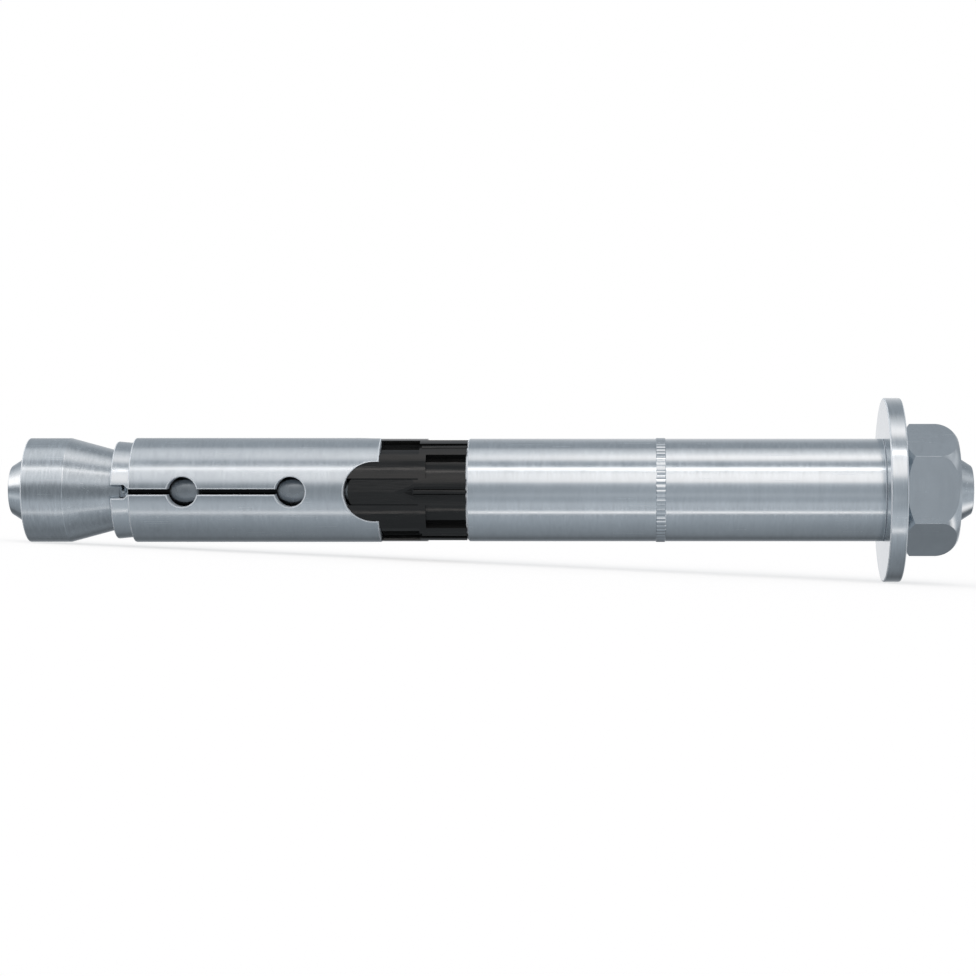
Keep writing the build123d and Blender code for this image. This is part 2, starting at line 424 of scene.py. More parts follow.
class Nodes:
    """Builds a node tree: add() makes a node, sets its fields and sockets, and links what is given."""

    def __init__(self, tree):
        self.tree = tree
        tree.nodes.clear()

    def add(self, kind, inputs=(), **fields):
        made = self.tree.nodes.new(kind)
        for field, value in fields.items():
            setattr(made, field, value)
        for key, value in dict(inputs).items():
            if isinstance(value, bpy.types.NodeSocket):
                self.tree.links.new(value, made.inputs[key])
            else:
                made.inputs[key].default_value = value
        return made

    def math(self, operation, *values):
        return self.add("ShaderNodeMath", dict(enumerate(values)), operation=operation).outputs[0]

    def spread(self, value, low, high, to_low=0.0, to_high=1.0):
        return self.add("ShaderNodeMapRange", {
            "Value": value, "From Min": low, "From Max": high, "To Min": to_low, "To Max": to_high,
        }).outputs["Result"]

    def noise(self, vector, scale, detail=2.0, roughness=0.5):
        return self.add("ShaderNodeTexNoise", {
            "Vector": vector, "Scale": scale, "Detail": detail, "Roughness": roughness,
        }).outputs["Fac"]

    def ramp(self, value, stops):
        made = self.add("ShaderNodeValToRGB", {"Fac": value})
        elements = made.color_ramp.elements
        while len(elements) < len(stops):
            elements.new(0.5)
        for element, (place, tone) in zip(elements, stops):
            element.position = place
            element.color = (*tone, 1) if hasattr(tone, "__len__") else (tone, tone, tone, 1)
        return made.outputs["Color"]

    def mix(self, share, one, other):
        """From one colour to the other, as the share goes from 0 to 1."""
        return self.add("ShaderNodeMix", {"Factor": share, 6: one, 7: other}, data_type="RGBA").outputs[2]

    def bump(self, height, strength, distance):
        return self.add("ShaderNodeBump", {
            "Height": height, "Strength": strength, "Distance": distance}).outputs["Normal"]

    def seen_directly(self):
        """1 for what the camera itself sees, and 0 for what lights or is mirrored."""
        seen = self.add("ShaderNodeLightPath").outputs
        return self.math("MAXIMUM", seen["Is Camera Ray"], seen["Is Transmission Ray"])

    def surface(self, inputs):
        """Join one principled shader to the material's output."""
        shader = self.add("ShaderNodeBsdfPrincipled", inputs)
        self.add("ShaderNodeOutputMaterial", {"Surface": shader.outputs["BSDF"]})


def new_material(name):
    material = bpy.data.materials.new(name)
    material.use_nodes = True
    return material, Nodes(material.node_tree)


def straight_places(nodes):
    """Object coordinates turned and centred on the anchor's axis, in metres."""
    place = nodes.add("ShaderNodeTexCoord").outputs["Object"]
    return nodes.add("ShaderNodeMapping", {
        "Vector": place, "Location": TO_ROW.translation, "Rotation": TO_ROW.to_euler(),
    }, vector_type="TEXTURE").outputs["Vector"]


def turning_places(nodes, grain, around, seed):
    """Coordinates that stretch a noise into fine rings round the axis, with no seam."""
    split = nodes.add("ShaderNodeSeparateXYZ", {"Vector": straight_places(nodes)}).outputs
    out = nodes.math("SQRT", nodes.math("ADD", nodes.math("MULTIPLY", split["Y"], split["Y"]),
                                        nodes.math("MULTIPLY", split["Z"], split["Z"])))
    across = nodes.math("MULTIPLY_ADD", nodes.math("ADD", split["X"], out), grain, seed)
    side = nodes.math("MULTIPLY", nodes.math("DIVIDE", split["Y"], out), around)
    rise = nodes.math("MULTIPLY", nodes.math("DIVIDE", split["Z"], out), around)
    return nodes.add("ShaderNodeCombineXYZ", {"X": across, "Y": side, "Z": rise}).outputs["Vector"]


def scratches(nodes, seed):
    """Sparse fine scratches, as a 0 to 1 mask."""
    place = straight_places(nodes)
    marks = []
    for turned in ((0.9, 0.5, 0.7 + seed), (-0.7, 0.8, -0.9 - seed)):
        laid = nodes.add("ShaderNodeMapping", {
            "Vector": place, "Location": (seed, 0, 0), "Rotation": turned,
            "Scale": (110.0, 5200.0, 5200.0)}).outputs["Vector"]
        marks.append(nodes.spread(nodes.noise(laid, 1.0, 0.0), 0.8, 0.86))
    return nodes.math("MAXIMUM", *marks)


def plated_steel(name, settings, tone=1.0, roughness=0.0, grain=1.0, seed=0.0):
    """Bright zinc plate over turned steel: fine rings, a faint cloudiness and a few scratches."""
    material, nodes = new_material(name)
    rings = nodes.noise(turning_places(nodes, FINE_RINGS, 5.0, seed), 1.0, 2.0, 0.6)
    bands = nodes.noise(turning_places(nodes, BROAD_RINGS, 1.5, seed + 7.0), 1.0, 2.0, 0.5)
    cloud = nodes.noise(straight_places(nodes), CLOUDS, 3.0, 0.55)
    marks = scratches(nodes, seed)
    ringed = nodes.math("MULTIPLY_ADD", nodes.math("SUBTRACT", rings, 0.5), 1.6 * grain,
                        nodes.math("MULTIPLY_ADD", cloud, 0.6, nodes.math("MULTIPLY", bands, 0.4)))
    base = [c * tone for c in settings.steel]
    plate = nodes.mix(nodes.spread(ringed, 0.2, 0.8), shade(base, 0.92), shade(base, 1.08))
    scratched = nodes.mix(nodes.math("MULTIPLY", marks, 0.35 * min(1, 0.4 + grain)), plate,
                          shade(base, 1.5))
    gloss = settings.gloss + roughness
    rough = nodes.math("MULTIPLY_ADD", marks, 0.15, nodes.math(
        "ADD", nodes.spread(rings, 0.25, 0.75, -0.03, 0.03),
        nodes.spread(cloud, 0.3, 0.7, gloss - 0.015, gloss + 0.015)))
    bump = nodes.bump(nodes.math("MULTIPLY_ADD", rings, 0.5, nodes.math("MULTIPLY", bands, 0.8)),
                      0.1 * grain, 0.00002)
    nodes.surface({"Base Color": scratched, "Metallic": 1.0, "Roughness": rough, "Normal": bump})
    return material


def cut_wall(settings):
    """The dull steel of the sleeve's bore and of the walls of its cuts."""
    material, nodes = new_material("Cut walls")
    grain = nodes.noise(straight_places(nodes), 2500.0, 3.0, 0.6)
    milled = nodes.mix(nodes.spread(grain, 0.3, 0.7), shade(settings.wall, 0.85), shade(settings.wall, 1.1))
    nodes.surface({
        "Base Color": milled, "Metallic": 0.15, "Roughness": nodes.spread(grain, 0.3, 0.7, 0.5, 0.6),
        "Normal": nodes.bump(grain, 0.2, 0.00003)})
    return material


def painted_shade_wall(settings):
    """The bore and the narrow slots, where little light comes in: painted shade, a near-black colour."""
    material, nodes = new_material("Slot walls, painted shade")
    painted_shade_grain = nodes.noise(straight_places(nodes), 1800.0, 3.0, 0.6)
    # Painted shade: the wall colour cut down to near black, with random grain
    dark = nodes.mix(nodes.spread(painted_shade_grain, 0.3, 0.7), shade(settings.wall, 0.06), shade(settings.wall, 0.12))
    nodes.surface({
        "Base Color": dark, "Metallic": 0.5, "Roughness": nodes.spread(painted_shade_grain, 0.3, 0.7, 0.5, 0.6)})
    return material


def shank_steel(settings, cuts):
    """The rolled shank: its own tone where the sleeve's holes and the gap at a notch open onto it, and
    painted shade, nearly black, where the sleeves cover it.
    """
    material, nodes = new_material("Rolled shank steel, painted shade")
    place = straight_places(nodes)
    along = nodes.add("ShaderNodeSeparateXYZ", {"Vector": place}).outputs["X"]
    first = sleeve.places_of(sleeve.reach)[0] * MM + cuts.first_hole
    # Where the painted shade lifts: over the two holes, and over the gap at the inner end of a notch
    gap_middle, gap_reach = 0.0002, 0.0008
    tip_gap = sleeve.end * MM - cuts.notch_depth + gap_middle
    openings = ((first, cuts.hole / 2), (first + cuts.hole_pitch, cuts.hole / 2), (tip_gap, gap_reach))
    open_places = []
    for middle, reach in openings:
        away = nodes.math("ABSOLUTE", nodes.math("SUBTRACT", along, middle))
        open_places.append(nodes.spread(away, reach * 0.8, reach, 1.0, 0.0))
    tarnish = nodes.noise(place, 600.0, 3.0, 0.6)
    opened = nodes.math("MAXIMUM", open_places[2], nodes.math("MAXIMUM", *open_places[:2]))
    light = nodes.math("MULTIPLY", opened, nodes.spread(tarnish, 0.3, 0.7, 0.85, 1.0))
    # Painted shade where the sleeves cover the shank, and the shank's own tone where it opens
    shank = nodes.mix(light, shade(settings.steel, settings.covered_painted_shade), shade(settings.steel, settings.shank))
    nodes.surface({
        "Base Color": shank, "Metallic": 1.0, "Roughness": nodes.spread(tarnish, 0.3, 0.7, 0.24, 0.3)})
    return material


def moulded_plastic(settings):
    """Black moulded plastic with a satin skin and fine drawn lines along the anchor."""
    material, nodes = new_material("Black moulded plastic")
    place = straight_places(nodes)
    drawn = nodes.add("ShaderNodeMapping", {"Vector": place, "Scale": (250.0, 4500.0, 4500.0)})
    lines = nodes.noise(drawn.outputs["Vector"], 1.0, 2.0, 0.6)
    flow = nodes.noise(place, 500.0, 3.0, 0.5)
    base = settings.plastic
    skin = nodes.mix(nodes.spread(lines, 0.3, 0.7), shade(base, 0.6), shade(base, 1.7))
    bump = nodes.bump(nodes.math("MULTIPLY_ADD", lines, 0.7, nodes.math("MULTIPLY", flow, 0.5)),
                      0.36, 0.00003)
    nodes.surface({
        "Base Color": skin, "Roughness": nodes.spread(flow, 0.3, 0.7, 0.08, 0.13),
        "Specular IOR Level": 0.4, "Specular Tint": (0.95, 0.985, 1.0, 1.0), "Normal": bump})
    return material


def edge_highlight_paint(settings):
    """The thin bright line on every broken edge of the plated steel, a painted highlight: a near-white
    colour on the edge bevels.
    """
    found = bpy.data.materials.get("Painted edge highlights")
    if found:
        return found
    material, nodes = new_material("Painted edge highlights")
    # A near-white colour on the edge bevels, a painted highlight, with fine random grain
    edge_grain = nodes.noise(straight_places(nodes), 1500.0, 2.0, 0.5)
    painted_highlight = nodes.mix(nodes.spread(edge_grain, 0.3, 0.7), shade(settings.edge, 0.9), shade(settings.edge, 1))
    nodes.surface({
        "Base Color": painted_highlight, "Metallic": 0.3, "Roughness": nodes.spread(edge_grain, 0.3, 0.7, 0.4, 0.5)})
    return material


def finish():
    return bpy.context.scene.anchor_finish


# Operators


# The studio's light by its angle over the anchor's axis: 0 is the camera's side, 90 overhead
LIGHT_BY_NUT = (
    (-180, 1.0), (-160, 0.3), (-140, 0.16), (-120, 0.3), (-88, 0.43), (-66, 0.55),
    (-54, 0.52), (-53, 2.0), (-50, 2.0), (-48.5, 0.66), (-31, 0.76), (-25, 0.56), (-18, 0.57), (-11, 0.7),
    (-4, 0.56), (7, 0.58), (14, 0.78), (19, 1.5), (36, 1.6), (41, 1.2), (45, 1.3), (46.5, 3.6), (49.5, 3.6),
    (51, 0.8), (57, 0.5), (65, 0.6), (73, 1.5), (80, 1.65), (90, 1.15), (110, 0.44), (128, 0.46), (180, 1.0))
LIGHT_BY_CONE = (
    (-180, 1.0), (-172, 0.9), (-160, 0.3), (-139, 0.18), (-118, 0.27), (-103, 0.24), (-89, 0.28),
    (-66, 0.43), (-54, 0.55), (-53, 1.2), (-50, 1.2), (-48.5, 0.66), (-36, 0.68), (-27, 0.66), (-20, 0.4),
    (-9, 0.26), (6, 0.28), (12, 0.38), (19, 0.9), (36, 1.05), (45, 1.1), (46.5, 2.4), (49.5, 2.4),
    (51, 0.8), (62, 0.5), (67, 0.55), (72, 0.92), (89, 1.0), (103, 0.88), (109, 0.5), (160, 0.5),
    (180, 1.0))
# The light beyond the anchor's two ends, by its height: -1 is straight down, 1 overhead
LIGHT_PAST_CONE = (
    (-1, 0.35), (-0.55, 0.42), (-0.42, 0.5), (-0.3, 0.9), (-0.2, 0.55), (-0.08, 0.32), (0.04, 0.4),
    (0.12, 0.9), (0.18, 1.8), (0.4, 1.75), (0.48, 1.0), (0.6, 0.55), (1, 0.55))
LIGHT_PAST_NUT = (
    (-1, 0.35), (-0.72, 0.55), (-0.64, 1.5), (-0.56, 1.6), (-0.5, 1.0), (-0.42, 0.62), (-0.1, 0.6),
    (0, 0.68), (0.1, 0.55), (0.34, 0.55), (0.44, 0.9), (0.52, 1.0), (0.6, 0.76), (0.75, 0.5), (1, 0.45))
COOL_LIGHT = (0.943, 1.0, 1.06)
WARM_LIGHT = (1.08, 1.0, 0.955)


class ANCHOR_OT_stage(bpy.types.Operator):
    """Make the camera, the floor and the soft studio light"""

    bl_idname = "anchor.stage"
    bl_label = "Studio"

    def execute(self, context):
        settings = context.scene.anchor_studio
        self.camera(context, settings)
        self.floor(settings)
        self.light(context, settings)
        return {"FINISHED"}

    def camera(self, context, settings):
        lens = bpy.data.cameras.new("Camera")
        lens.sensor_width = 36
        lens.lens = lens.sensor_width * settings.distance / settings.across
        lens.shift_x = -settings.aside
        lens.shift_y = settings.rise / settings.across
        lens.clip_start = 0.01
        lens.clip_end = 100
        camera = bpy.data.objects.new("Camera", lens)
        along, away, up = (TO_ROW.col[i].to_3d().normalized() for i in range(3))
        camera.matrix_world = (
            Matrix.Translation(TO_ROW @ Vector((mm(settings.from_end), -mm(settings.distance), 0)))
            @ Matrix((along, up, -away)).transposed().to_4x4())
        context.scene.collection.objects.link(camera)
        context.scene.camera = camera

    def floor(self, settings):
        bm = bmesh.new()
        bmesh.ops.create_grid(bm, x_segments=1, y_segments=1, size=20)
        mesh = bpy.data.meshes.new("floor")
        bm.to_mesh(mesh)
        bm.free()
        material, nodes = new_material("Pale floor")
        lit = nodes.add("ShaderNodeBsdfDiffuse", {"Color": (*settings.floor, 1)}).outputs[0]
        glowing = nodes.add("ShaderNodeEmission", {
            "Color": (1, 1, 1, 1),
            "Strength": nodes.math("MULTIPLY", nodes.seen_directly(), settings.floor_glow)}).outputs[0]
        both = nodes.add("ShaderNodeAddShader", {0: lit, 1: glowing}).outputs[0]
        nodes.add("ShaderNodeOutputMaterial", {"Surface": both})
        mesh.materials.append(material)
        piece = bpy.data.objects.new("floor", mesh)
        piece.visible_glossy = False
        bpy.context.scene.collection.objects.link(piece)

    def light(self, context, settings):
        world = bpy.data.worlds.new("Soft boxes")
        world.use_nodes = True
        context.scene.world = world
        nodes = Nodes(world.node_tree)
        way = nodes.add("ShaderNodeSeparateXYZ", {
            "Vector": nodes.add("ShaderNodeTexCoord").outputs["Generated"]}).outputs
        over = nodes.math("ARCTAN2", way["Z"], nodes.math("MULTIPLY", way["Y"], -1.0))
        angle_over = nodes.spread(over, -math.pi, math.pi)
        by_nut = self.glow(nodes, angle_over, LIGHT_BY_NUT, 180, settings.boxes)
        by_cone = self.glow(nodes, angle_over, LIGHT_BY_CONE, 180, settings.boxes)
        height = nodes.spread(way["Z"], -1.0, 1.0)
        at_ends = nodes.mix(nodes.spread(way["X"], -0.1, 0.1),
                            self.glow(nodes, height, LIGHT_PAST_CONE, 1, settings.ends),
                            self.glow(nodes, height, LIGHT_PAST_NUT, 1, settings.ends))
        near_nut = nodes.math("MULTIPLY", nodes.spread(way["X"], -0.18, -0.02),
                              nodes.spread(way["X"], 0.14, 0.17, 1.0, 0.0))
        past_end = nodes.spread(nodes.math("ABSOLUTE", way["X"]), 0.68, 0.8)
        around = nodes.mix(past_end, nodes.mix(near_nut, by_cone, by_nut), at_ends)
        # What the cone's slope mirrors from above is a little dimmer than what its cylinder mirrors
        above_slope = nodes.math("MULTIPLY", nodes.spread(way["X"], 0.18, 0.26),
                                 nodes.spread(over, math.radians(20), math.radians(35)))
        studio = nodes.add("ShaderNodeBackground", {
            "Color": around, "Strength": nodes.spread(above_slope, 0.0, 1.0, 4.0, 3.3)}).outputs[0]
        white = nodes.add("ShaderNodeBackground", {"Color": (1, 1, 1, 1), "Strength": 1.0}).outputs[0]
        shown = nodes.add("ShaderNodeMixShader", {
            0: nodes.seen_directly(), 1: studio, 2: white}).outputs[0]
        nodes.add("ShaderNodeOutputWorld", {"Surface": shown})

    def glow(self, nodes, share, levels, reach, brightness):
        """A ramp of (place, level) lights, bright ones a little warm and dim ones cool."""
        stops = []
        for place, level in levels:
            warm = max(0.0, min(1.0, level - 0.5))
            tint = [cool + (sun - cool) * warm for cool, sun in zip(COOL_LIGHT, WARM_LIGHT)]
            stops.append((0.5 + place / reach / 2, [brightness * level * t / 4 for t in tint]))
        return nodes.ramp(share, stops)


class ANCHOR_OT_bolt(bpy.types.Operator):
    """Make the bolt: two threads, the plain shank between them and its tapered ends"""

    bl_idname = "anchor.bolt"
    bl_label = "Bolt"

    def execute(self, context):
        settings = context.scene.anchor_thread
        crest = bolt.reach
        end_radius = bolt.reach_at(bolt.start)
        shank = sorted({round(r, 3) for x, r in bolt.points if bolt.start + 3 < x < bolt.end - 3})[0]
        shank_start, shank_end = bolt.places_of(shank)
        taper, edge, fade, drop = (mm(v) for v in (
            settings.end_taper, settings.end_edge, settings.fade, settings.drop))
        parts = []
        for tip, tip_thread, shank_x, side in (
                (bolt.start, bolt.start + taper, shank_start, 1),
                (bolt.end, bolt.end - taper, shank_end, -1)):
            def radius_at(x, radius):
                full = smooth_step((x - tip_thread) * side / fade)
                full *= smooth_step((shank_x - x) * side / drop - 1.5)
                threaded = crest + (radius - crest) * full
                return shank + (threaded - shank) * smooth_step((shank_x - x) * side / drop)
            bm = bmesh.new()
            low, high = sorted((tip_thread, shank_x))
            thread(bm, low, high, crest, settings, radius_at)
            loop = carry_on(bm, open_loop(bm, tip_thread), tip + side * edge,
                            crest + (end_radius - crest) * (1 - edge / taper))
            loop = carry_on(bm, loop, tip + side * edge * 0.3, end_radius - edge * 0.25)
            loop = carry_on(bm, loop, tip, end_radius - edge)
            bmesh.ops.contextual_create(bm, geom=loop)
            parts.append(bm)
        bm = parts[0]
        join(bm, parts[1])
        bmesh.ops.bridge_loops(bm, edges=open_loop(bm, shank_start) + open_loop(bm, shank_end))
        outward(bm)
        # The shank takes the steel with painted shade where the sleeves cover it
        for face in bm.faces:
            face.material_index = int(shank_start - drop < face.calc_center_median().x < shank_end + drop)
        finish_piece(bm, "threaded_bolt", "root", "plated_steel",
                     plated_steel("Plated bolt steel", finish(), roughness=0.01, grain=0.7, seed=3),
                     shank_steel(finish(), context.scene.anchor_sleeve))
        return {"FINISHED"}


class ANCHOR_OT_cone(bpy.types.Operator):
    """Make the cone nut: a short cylinder that bends into the long slope, threaded inside"""

    bl_idname = "anchor.cone_nut"
    bl_label = "Cone nut"

    def execute(self, context):
        settings = context.scene.anchor_cone
        threads = context.scene.anchor_thread
        corner = cone.places_of(cone.reach)[1]
        nose = cone.reach_at(cone.end)
        mouth = cone.bore + mm(threads.countersink)
        nose_mouth = cone.bore + NOSE_MOUTH
        bm = bmesh.new()
        section(bm, ((cone.start, mouth), (cone.start, cone.reach), (corner, cone.reach),
                     (cone.end, nose), (cone.end, nose_mouth)))
        round_corners(bm, [(cone.start, cone.reach)], mm(settings.edge), 3)
        round_corners(bm, [(corner, cone.reach)], mm(settings.blend), 10)
        open_section(bm, (cone.end, nose_mouth), (cone.start, mouth))
        turn(bm)
        inside = bmesh.new()
        thread(inside, cone.start, cone.end, bolt.reach + mm(threads.play), threads,
               lambda x, r: max(r, mouth - LIP - (x - cone.start), nose_mouth - LIP - 3 * (cone.end - x)))
        join(bm, inside)
        close_between(bm, cone.start)
        close_between(bm, cone.end)
        outward(bm)
        # The rounded edge at the cone's end takes the painted edge highlight
        for face in bm.faces:
            face.material_index = int(is_edge(face, cone.start, mm(settings.edge)))
        finish_piece(bm, "cone_nut", "root", "turned_steel",
                     plated_steel("Turned cone steel", finish(), tone=0.95, roughness=0.05, grain=0.8,
                                  seed=11),
                     edge_highlight_paint(finish()))
        return {"FINISHED"}


class ANCHOR_OT_sleeve(bpy.types.Operator):
    """Make the slit expansion sleeve: one leg cut flat, its edges broken, then rolled and repeated"""

    bl_idname = "anchor.expansion_sleeve"
    bl_label = "Expansion sleeve"

    def execute(self, context):
        settings = context.scene.anchor_sleeve
        self.body_start = sleeve.places_of(sleeve.reach)[0]
        self.collar = sleeve.reach_at(sleeve.start)
        self.seat = min(r for x, r in sleeve.points if abs(x - sleeve.start) < 0.01)
        self.seat_end = min(x for x, r in sleeve.points if abs(r - sleeve.bore) < 0.005)
        self.plain = mm(settings.notch_width) / 2 + UPRIGHT_PAST_NOTCH
        self.sector = math.pi / settings.legs
        self.half = self.plain + sleeve.reach * (self.sector - math.asin(self.plain / sleeve.reach))
        bm = bmesh.new()
        self.half_leg(bm, settings)
        bmesh.ops.mirror(bm, geom=everything(bm), axis="Y", matrix=Matrix.Identity(4),
                         merge_dist=TOLERANCE)
        bmesh.ops.recalc_face_normals(bm, faces=bm.faces[:])
        self.thicken(bm)
        self.mark_walls(bm, settings)
        self.break_edges(bm, settings)
        self.divide(bm)
        self.roll(bm, settings)
        outward(bm)
        finish_piece(bm, "expansion_sleeve", "sleeve", "sleeve_steel",
                     plated_steel("Plated sleeve steel", finish(), tone=0.96, roughness=0.05, grain=0.4,
                                  seed=23),
                     cut_wall(finish()), edge_highlight_paint(finish()), painted_shade_wall(finish()), true_round=True)
        return {"FINISHED"}

    def half_leg(self, bm, settings):
        """Half of one leg as a flat face: x along the anchor, y round it from the slot's middle."""
        slot, keyway, hole, notch = (mm(v) / 2 for v in (
            settings.slot_width, settings.keyway_width, settings.hole, settings.notch_width))
        corner = mm(settings.keyway_corner)
        first_x = self.body_start + mm(settings.first_hole)
        last_x = first_x + mm(settings.hole_pitch)
        notch_x = sleeve.end - mm(settings.notch_depth) + notch
        lip = math.asin(slot / hole)
        pen = bm.verts.new((last_x + hole, 0, 0))
        first = pen

        def arc(vert, centre, sweep, steps):
            made = bmesh.ops.spin(bm, geom=[vert], cent=(centre, 0, 0), axis=(0, 0, 1), angle=sweep,
                                  steps=steps)["geom_last"]
            return verts_of(made)[0]

        def line(vert, x, y):
            made = bm.verts.new((x, y, 0))
            bm.edges.new((vert, made))
            return made

        pen = arc(pen, last_x, math.pi - lip, 20)
        pen = line(pen, first_x + hole * math.cos(lip), slot)
        pen = arc(pen, first_x, math.pi - 2 * lip, 18)
        pen = line(pen, self.body_start - (slot - keyway + corner), slot)
        pen = line(pen, self.body_start - corner, keyway)
        pen = line(pen, sleeve.start, keyway)
        pen = line(pen, sleeve.start, self.half)
        pen = line(pen, sleeve.end, self.half)
        pen = line(pen, sleeve.end, notch)
        pen = line(pen, notch_x, notch)
        pen = arc(pen, notch_x, math.pi / 2, 18)
        bm.edges.new((pen, first))
        bmesh.ops.contextual_create(bm, geom=bm.edges[:])

    def thicken(self, bm):
        """Raise the flat leg to the collar's height, then its body to the full height."""
        bore = sleeve.bore
        self.heights = (self.collar - bore, sleeve.reach - bore)
        self.lift(bm, bm.faces[:], self.heights[0])
        cut(bm, (self.body_start, 0, 0), (1, 0, 0))
        top = [f for f in bm.faces if f.calc_center_median().x > self.body_start
               and all(abs(v.co.z - self.heights[0]) < TOLERANCE for v in f.verts)]
        self.lift(bm, top, self.heights[1] - self.heights[0])
        bmesh.ops.delete(bm, geom=top, context="FACES")
        sides = [f for f in bm.faces if all(abs(abs(v.co.y) - self.half) < TOLERANCE for v in f.verts)]
        bmesh.ops.delete(bm, geom=sides, context="FACES")
        bmesh.ops.recalc_face_normals(bm, faces=bm.faces[:])

    def lift(self, bm, faces, height):
        made = bmesh.ops.extrude_face_region(bm, geom=faces)["geom"]
        bmesh.ops.translate(bm, verts=verts_of(made), vec=(0, 0, height))

    def mark_walls(self, bm, settings):
        """The walls of the cuts get their own finish, and the bore and the slots a near-black one of painted
        shade.
        """
        for face in bm.faces:
            centre = face.calc_center_median()
            is_outer = face.normal.z > 0.9 and centre.z > 1
            is_front = abs(face.normal.x) > 0.9 and centre.x < self.body_start + TOLERANCE
            face.material_index = 0 if is_outer or is_front else WALL
            is_cut = abs(face.normal.y) > 0.9 and abs(centre.y) < mm(settings.slot_width)
            if abs(face.normal.z) > 0.9 and not is_outer or is_cut:
                face.material_index = SLOT

    def break_edges(self, bm, settings):
        """Round the outer edges, where a top face meets a wall; their new faces take the painted edge
        highlight.
        """
        def is_top(face):
            return abs(face.normal.z) > 0.9 and face.calc_center_median().z > 1

        edges = [e for e in bm.edges if len(e.link_faces) == 2
                 and sum(is_top(f) for f in e.link_faces) == 1
                 and not (abs(e.verts[0].co.x - self.body_start) < TOLERANCE
                          and abs(e.verts[1].co.x - self.body_start) < TOLERANCE
                          and e.verts[0].co.z < self.heights[1] - TOLERANCE)]
        round_edges(bm, edges, mm(settings.edge), 2, SLEEVE_EDGE)

    def divide(self, bm):
        """Cut the flat leg into narrow strips, so that it can be rolled."""
        strips = 2 * math.ceil(self.half / STRIP)
        for step in range(1, strips):
            y = self.half * (2 * step / strips - 1)
            cut(bm, (0, y, 0), (0, 1, 0))
        for x in (self.seat_end, *(self.body_start + place for place in CROSS_CUTS)):
            cut(bm, (x, 0, 0), (1, 0, 0))

    def roll(self, bm, settings):
        """Roll the leg round the axis, with the cuts' walls upright as they were milled."""
        bore = sleeve.bore
        slope = (self.seat - bore) / (self.seat_end - sleeve.start)
        taper = mm(settings.collar_taper)
        collar_length = self.body_start - sleeve.start
        for vert in bm.verts:
            x, across, height = vert.co
            radius = bore + height
            if x < self.body_start + TOLERANCE and height < self.heights[0] + TOLERANCE:
                share = (x - sleeve.start) / collar_length
                radius += taper * (0.5 - share) * height / self.heights[0]
            radius = max(radius, self.seat - slope * (x - sleeve.start), bore)
            side = abs(across)
            if side <= self.plain:
                turned = math.asin(side / radius)
            else:
                start = math.asin(self.plain / radius)
                share = (side - self.plain) / (self.half - self.plain)
                turned = start + (self.sector - start) * share
            turned = math.copysign(turned, across)
            vert.co = (x, radius * math.sin(turned), radius * math.cos(turned))
        bmesh.ops.spin(bm, geom=everything(bm), cent=(0, 0, 0), axis=(1, 0, 0),
                       angle=FULL_TURN * (settings.legs - 1) / settings.legs,
                       steps=settings.legs - 1, use_duplicate=True)
        bmesh.ops.rotate(bm, verts=bm.verts[:], cent=(0, 0, 0),
                         matrix=Matrix.Rotation(math.pi / 2 - settings.turn, 3, "X"))


class ANCHOR_OT_ring(bpy.types.Operator):
    """Make the moulded ring from a merged copy of its CAD node, with softened edges"""

    bl_idname = "anchor.collapse_ring"
    bl_label = "Collapse ring"

    def execute(self, context):
        settings = context.scene.anchor_ring
        bm = bmesh.new()
        bm.from_mesh(frame["nodes"]["collapse_ring"].data)
        bmesh.ops.transform(bm, matrix=TO_STRAIGHT, verts=bm.verts[:])
        outward(bm)
        bmesh.ops.dissolve_limit(bm, angle_limit=math.radians(1.5), verts=bm.verts[:], edges=bm.edges[:],
                                 use_dissolve_boundaries=False)
        for face in bm.faces:
            face.material_index = 0
        piece = finish_piece(bm, "collapse_ring", "sleeve", "black_plastic", moulded_plastic(finish()))
        soften = piece.modifiers.new("Moulded edges", "BEVEL")
        soften.width = settings.edge
        soften.segments = 2
        soften.limit_method = "ANGLE"
        soften.angle_limit = math.radians(40)
        soften.harden_normals = False
        piece.modifiers.move(1, 0)
        return {"FINISHED"}


class ANCHOR_OT_spacer(bpy.types.Operator):
    """Make the distance sleeve with its chamfered front end and its narrow knurled band"""

    bl_idname = "anchor.distance_sleeve"
    bl_label = "Distance sleeve"

    def execute(self, context):
        settings = context.scene.anchor_spacer
        body = spacer.reach_at(spacer.end)
        front = spacer.reach_at(spacer.start)
        front_edge = spacer.places_of(body)[0]
        raised = [x for x, r in spacer.points if r > body + 0.05]
        low, high = min(raised), max(raised)
        rise = mm(settings.band_edge)
        rows = (low, low + rise, (low + high) / 2, high - rise, high)
        bm = bmesh.new()
        section(bm, ((spacer.start, spacer.bore), (spacer.start, front), (front_edge, body),
                     *((x, body) for x in rows), (spacer.end, body), (spacer.end, spacer.bore)))
        round_corners(bm, [(spacer.end, body)], mm(settings.edge), 2)
        round_corners(bm, [(front_edge, body), (spacer.start, front)], 0.05, 2)
        steps = len(RIDGE) * settings.ridges
        turn(bm, steps)
        for vert in bm.verts:
            if low + TOLERANCE < vert.co.x < high - TOLERANCE and radius_of(vert) > body - 1:
                step = round(math.atan2(vert.co.y, vert.co.z) / FULL_TURN * steps)
                set_radius(vert, body + mm(settings.ridge_height) * RIDGE[step % len(RIDGE)])
        outward(bm)
        # The front chamfer and the rear edge take the painted edge highlight
        for face in bm.faces:
            edges = is_edge(face, spacer.start, front_edge - spacer.start), is_edge(
                face, spacer.end, mm(settings.edge))
            face.material_index = int(any(edges))
            face.smooth = not low < face.calc_center_median().x < high
            for edge in face.edges:
                edge.smooth = edge.smooth and face.smooth
        finish_piece(bm, "distance_sleeve", "spacer", "sleeve_steel",
                     plated_steel("Plated tube steel", finish(), grain=0.4, seed=37), edge_highlight_paint(finish()))
        return {"FINISHED"}


